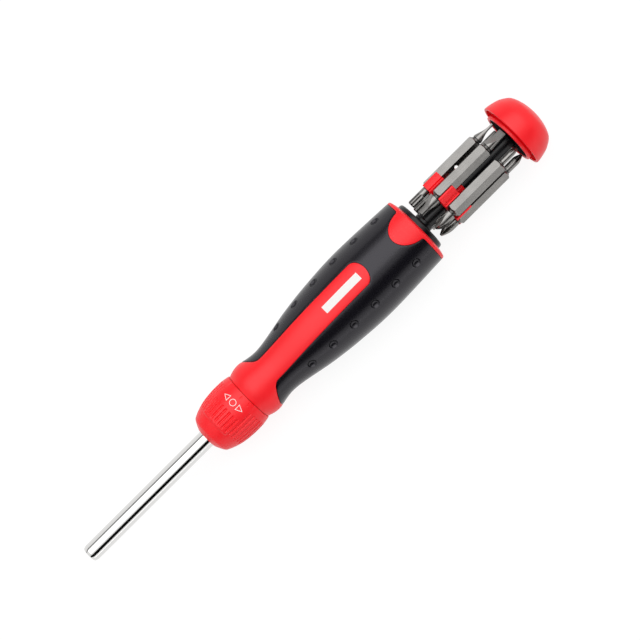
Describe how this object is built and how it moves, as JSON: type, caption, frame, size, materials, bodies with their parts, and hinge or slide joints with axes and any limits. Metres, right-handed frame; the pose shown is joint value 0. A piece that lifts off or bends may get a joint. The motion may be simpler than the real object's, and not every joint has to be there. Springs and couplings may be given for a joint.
{
  "type": "ratcheting screwdriver",
  "caption": "Ratcheting screwdriver with a socketed shaft, a turning selector collar, a rubber-covered handle and a pull-out carousel of double-ended hex bits under a domed cap.",
  "frame": {"origin": "on the tool's axis, half-way along the tool with its cartridge pulled out", "axes": "+X along the tool from the shaft's tip to the end cap, +Z out through the label strip"},
  "size_m": [0.275, 0.0362, 0.0362],
  "materials": {
    "red_plastic": "moulded, satin gloss",
    "black_rubber": "moulded, matt",
    "black_plastic": "moulded, glossy",
    "chrome": "bright plated",
    "satin_steel": "satin",
    "cast_metal": "die cast",
    "brass": "turned"
  },
  "bodies": {
    "handle": {"handle_core": "red_plastic", "grip_overmould": "black_rubber", "ratchet_housing": "cast_metal", "housing_cover": "cast_metal", "front_bush": "brass", "cover_screw_upper": "satin_steel", "cover_screw_lower": "satin_steel", "pawl_pin_forward": "satin_steel", "pawl_pin_reverse": "satin_steel", "pawl_spring_forward": "satin_steel", "pawl_spring_reverse": "satin_steel", "selector_spring": "satin_steel"},
    "selector": {"selector_collar": "red_plastic", "selector_cam": "satin_steel"},
    "shaft_drive": {"shaft": "chrome", "ratchet_gear": "satin_steel", "thrust_washer": "brass", "shaft_circlip": "satin_steel"},
    "forward_pawl": {"pawl_forward": "satin_steel"},
    "reverse_pawl": {"pawl_reverse": "satin_steel"},
    "cartridge_foot": {"cartridge_base": "black_plastic"},
    "carousel": {"cartridge_rod": "black_plastic", "rod_circlip": "satin_steel", "bit_clip": "red_plastic", "top_disc": "black_plastic", "end_cap": "red_plastic"},
    "bit_1_piece": {"bit_1": "satin_steel", "bit_1_spring": "satin_steel"},
    "ball_1_piece": {"bit_1_ball": "chrome"},
    "bit_2_piece": {"bit_2": "satin_steel", "bit_2_spring": "satin_steel"},
    "ball_2_piece": {"bit_2_ball": "chrome"},
    "bit_3_piece": {"bit_3": "satin_steel", "bit_3_spring": "satin_steel"},
    "ball_3_piece": {"bit_3_ball": "chrome"},
    "bit_4_piece": {"bit_4": "satin_steel", "bit_4_spring": "satin_steel"},
    "ball_4_piece": {"bit_4_ball": "chrome"},
    "bit_5_piece": {"bit_5": "satin_steel", "bit_5_spring": "satin_steel"},
    "ball_5_piece": {"bit_5_ball": "chrome"},
    "bit_6_piece": {"bit_6": "satin_steel", "bit_6_spring": "satin_steel"},
    "ball_6_piece": {"bit_6_ball": "chrome"}
  },
  "joints": [
    {"name": "shaft_spin", "type": "hinge", "parent": "handle", "child": "shaft_drive", "pos_m": [0, 0, 0], "axis": [1, 0, 0], "continuous": true},
    {"name": "selector_turn", "type": "hinge", "parent": "handle", "child": "selector", "pos_m": [0, 0, 0], "axis": [1, 0, 0], "range_deg": [-25, 25], "deforming": ["selector_spring"]},
    {"name": "forward_pawl_swing", "type": "hinge", "parent": "handle", "child": "forward_pawl", "pos_m": [-0.04895, -0.0044, 0.0063], "axis": [1, 0, 0], "range_deg": [-6.5, 6.5], "deforming": ["pawl_spring_forward"]},
    {"name": "reverse_pawl_swing", "type": "hinge", "parent": "handle", "child": "reverse_pawl", "pos_m": [-0.04895, -0.0044, -0.0063], "axis": [1, 0, 0], "range_deg": [-6.5, 6.5], "deforming": ["pawl_spring_reverse"]},
    {"name": "cartridge_slide", "type": "slide", "parent": "handle", "child": "cartridge_foot", "axis": [1, 0, 0], "range_m": [-0.0567, 0]},
    {"name": "carousel_turn", "type": "hinge", "parent": "cartridge_foot", "child": "carousel", "pos_m": [0, 0, 0], "axis": [1, 0, 0], "continuous": true},
    {"name": "bit_1_release", "type": "slide", "parent": "carousel", "child": "bit_1_piece", "axis": [0, 0.9833, -0.1822], "range_m": [0, 0.008]},
    {"name": "bit_2_release", "type": "slide", "parent": "carousel", "child": "bit_2_piece", "axis": [0, 0.6494, 0.7604], "range_m": [0, 0.008]},
    {"name": "bit_3_release", "type": "slide", "parent": "carousel", "child": "bit_3_piece", "axis": [0, -0.3338, 0.9426], "range_m": [0, 0.008]},
    {"name": "bit_4_release", "type": "slide", "parent": "carousel", "child": "bit_4_piece", "axis": [0, -0.9833, 0.1822], "range_m": [0, 0.008]},
    {"name": "bit_5_release", "type": "slide", "parent": "carousel", "child": "bit_5_piece", "axis": [0, -0.6494, -0.7604], "range_m": [0, 0.008]},
    {"name": "bit_6_release", "type": "slide", "parent": "carousel", "child": "bit_6_piece", "axis": [0, 0.3338, -0.9426], "range_m": [0, 0.008]},
    {"name": "ball_1_press", "type": "slide", "parent": "bit_1_piece", "child": "ball_1_piece", "axis": [0, -0.9426, -0.3338], "range_m": [-0.0005, 0], "stiffness_N_per_m": 60, "deforming": ["bit_1_spring"]},
    {"name": "ball_2_press", "type": "slide", "parent": "bit_2_piece", "child": "ball_2_piece", "axis": [0, 0.9426, 0.3338], "range_m": [-0.0005, 0], "stiffness_N_per_m": 60, "deforming": ["bit_2_spring"]},
    {"name": "ball_3_press", "type": "slide", "parent": "bit_3_piece", "child": "ball_3_piece", "axis": [0, 0.7604, -0.6494], "range_m": [-0.0005, 0], "stiffness_N_per_m": 60, "deforming": ["bit_3_spring"]},
    {"name": "ball_4_press", "type": "slide", "parent": "bit_4_piece", "child": "ball_4_piece", "axis": [0, 0.9426, 0.3338], "range_m": [-0.0005, 0], "stiffness_N_per_m": 60, "deforming": ["bit_4_spring"]},
    {"name": "ball_5_press", "type": "slide", "parent": "bit_5_piece", "child": "ball_5_piece", "axis": [0, 0.1822, 0.9833], "range_m": [-0.0005, 0], "stiffness_N_per_m": 60, "deforming": ["bit_5_spring"]},
    {"name": "ball_6_press", "type": "slide", "parent": "bit_6_piece", "child": "ball_6_piece", "axis": [0, -0.7604, 0.6494], "range_m": [-0.0005, 0], "stiffness_N_per_m": 60, "deforming": ["bit_6_spring"]}
  ],
  "couplings": [
    {"joint": "forward_pawl_swing", "follows": "selector_turn", "ratio": 0.26},
    {"joint": "reverse_pawl_swing", "follows": "selector_turn", "ratio": 0.26}
  ]
}
